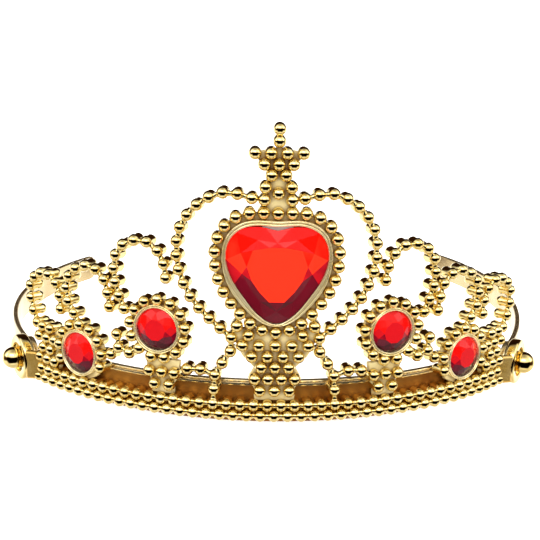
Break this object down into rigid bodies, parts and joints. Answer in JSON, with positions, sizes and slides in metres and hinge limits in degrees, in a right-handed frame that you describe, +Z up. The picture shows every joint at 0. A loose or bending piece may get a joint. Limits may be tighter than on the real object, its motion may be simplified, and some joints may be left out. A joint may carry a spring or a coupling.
{
  "type": "costume tiara",
  "caption": "Beaded gold costume tiara with a heart stone, round stones and two side arms that fold on snap hinges.",
  "frame": {"origin": "under the middle of the whole crown, on the table plane", "axes": "+X towards the wearer's left, -Y out of the crown's front, +Z up"},
  "size_m": [0.169, 0.1362, 0.0823],
  "materials": {
    "gold_bead": "vacuum-metallised gold plastic, mirror-bright",
    "gold_arm": "vacuum-metallised gold plastic, smooth and slightly satin",
    "red_stone": "moulded red acrylic with a mirror-foil back"
  },
  "bodies": {
    "front": {"base_rail": "gold_bead", "base_beads_lower": "gold_bead", "base_beads_upper": "gold_bead", "heart_setting": "gold_bead", "heart_gem": "red_stone", "heart_stem": "gold_bead", "cross_finial": "gold_bead", "left_heart_arch": "gold_bead", "left_arch_foot": "gold_bead", "left_inner_setting": "gold_bead", "left_inner_gem": "red_stone", "left_inner_stem": "gold_bead", "left_inner_scroll": "gold_bead", "left_side_cluster": "gold_bead", "left_outer_setting": "gold_bead", "left_outer_gem": "red_stone", "left_outer_scroll": "gold_bead", "left_end_scroll": "gold_bead", "left_end_panel": "gold_bead", "left_hinge_eyelet": "gold_bead", "right_heart_arch": "gold_bead", "right_arch_foot": "gold_bead", "right_inner_setting": "gold_bead", "right_inner_gem": "red_stone", "right_inner_stem": "gold_bead", "right_inner_scroll": "gold_bead", "right_side_cluster": "gold_bead", "right_outer_setting": "gold_bead", "right_outer_gem": "red_stone", "right_outer_scroll": "gold_bead", "right_end_scroll": "gold_bead", "right_end_panel": "gold_bead", "right_hinge_eyelet": "gold_bead"},
    "left_arm": {"left_side_arm": "gold_arm", "left_hinge_stud": "gold_bead"},
    "right_arm": {"right_side_arm": "gold_arm", "right_hinge_stud": "gold_bead"}
  },
  "joints": [
    {"name": "left_arm_hinge", "type": "hinge", "parent": "front", "child": "left_arm", "pos_m": [-0.0746, -0.0289, 0.0069], "axis": [0.866, 0.5, 0], "range_deg": [-60, 75]},
    {"name": "right_arm_hinge", "type": "hinge", "parent": "front", "child": "right_arm", "pos_m": [0.0746, -0.0289, 0.0069], "axis": [0.866, -0.5, 0], "range_deg": [-60, 75]}
  ]
}
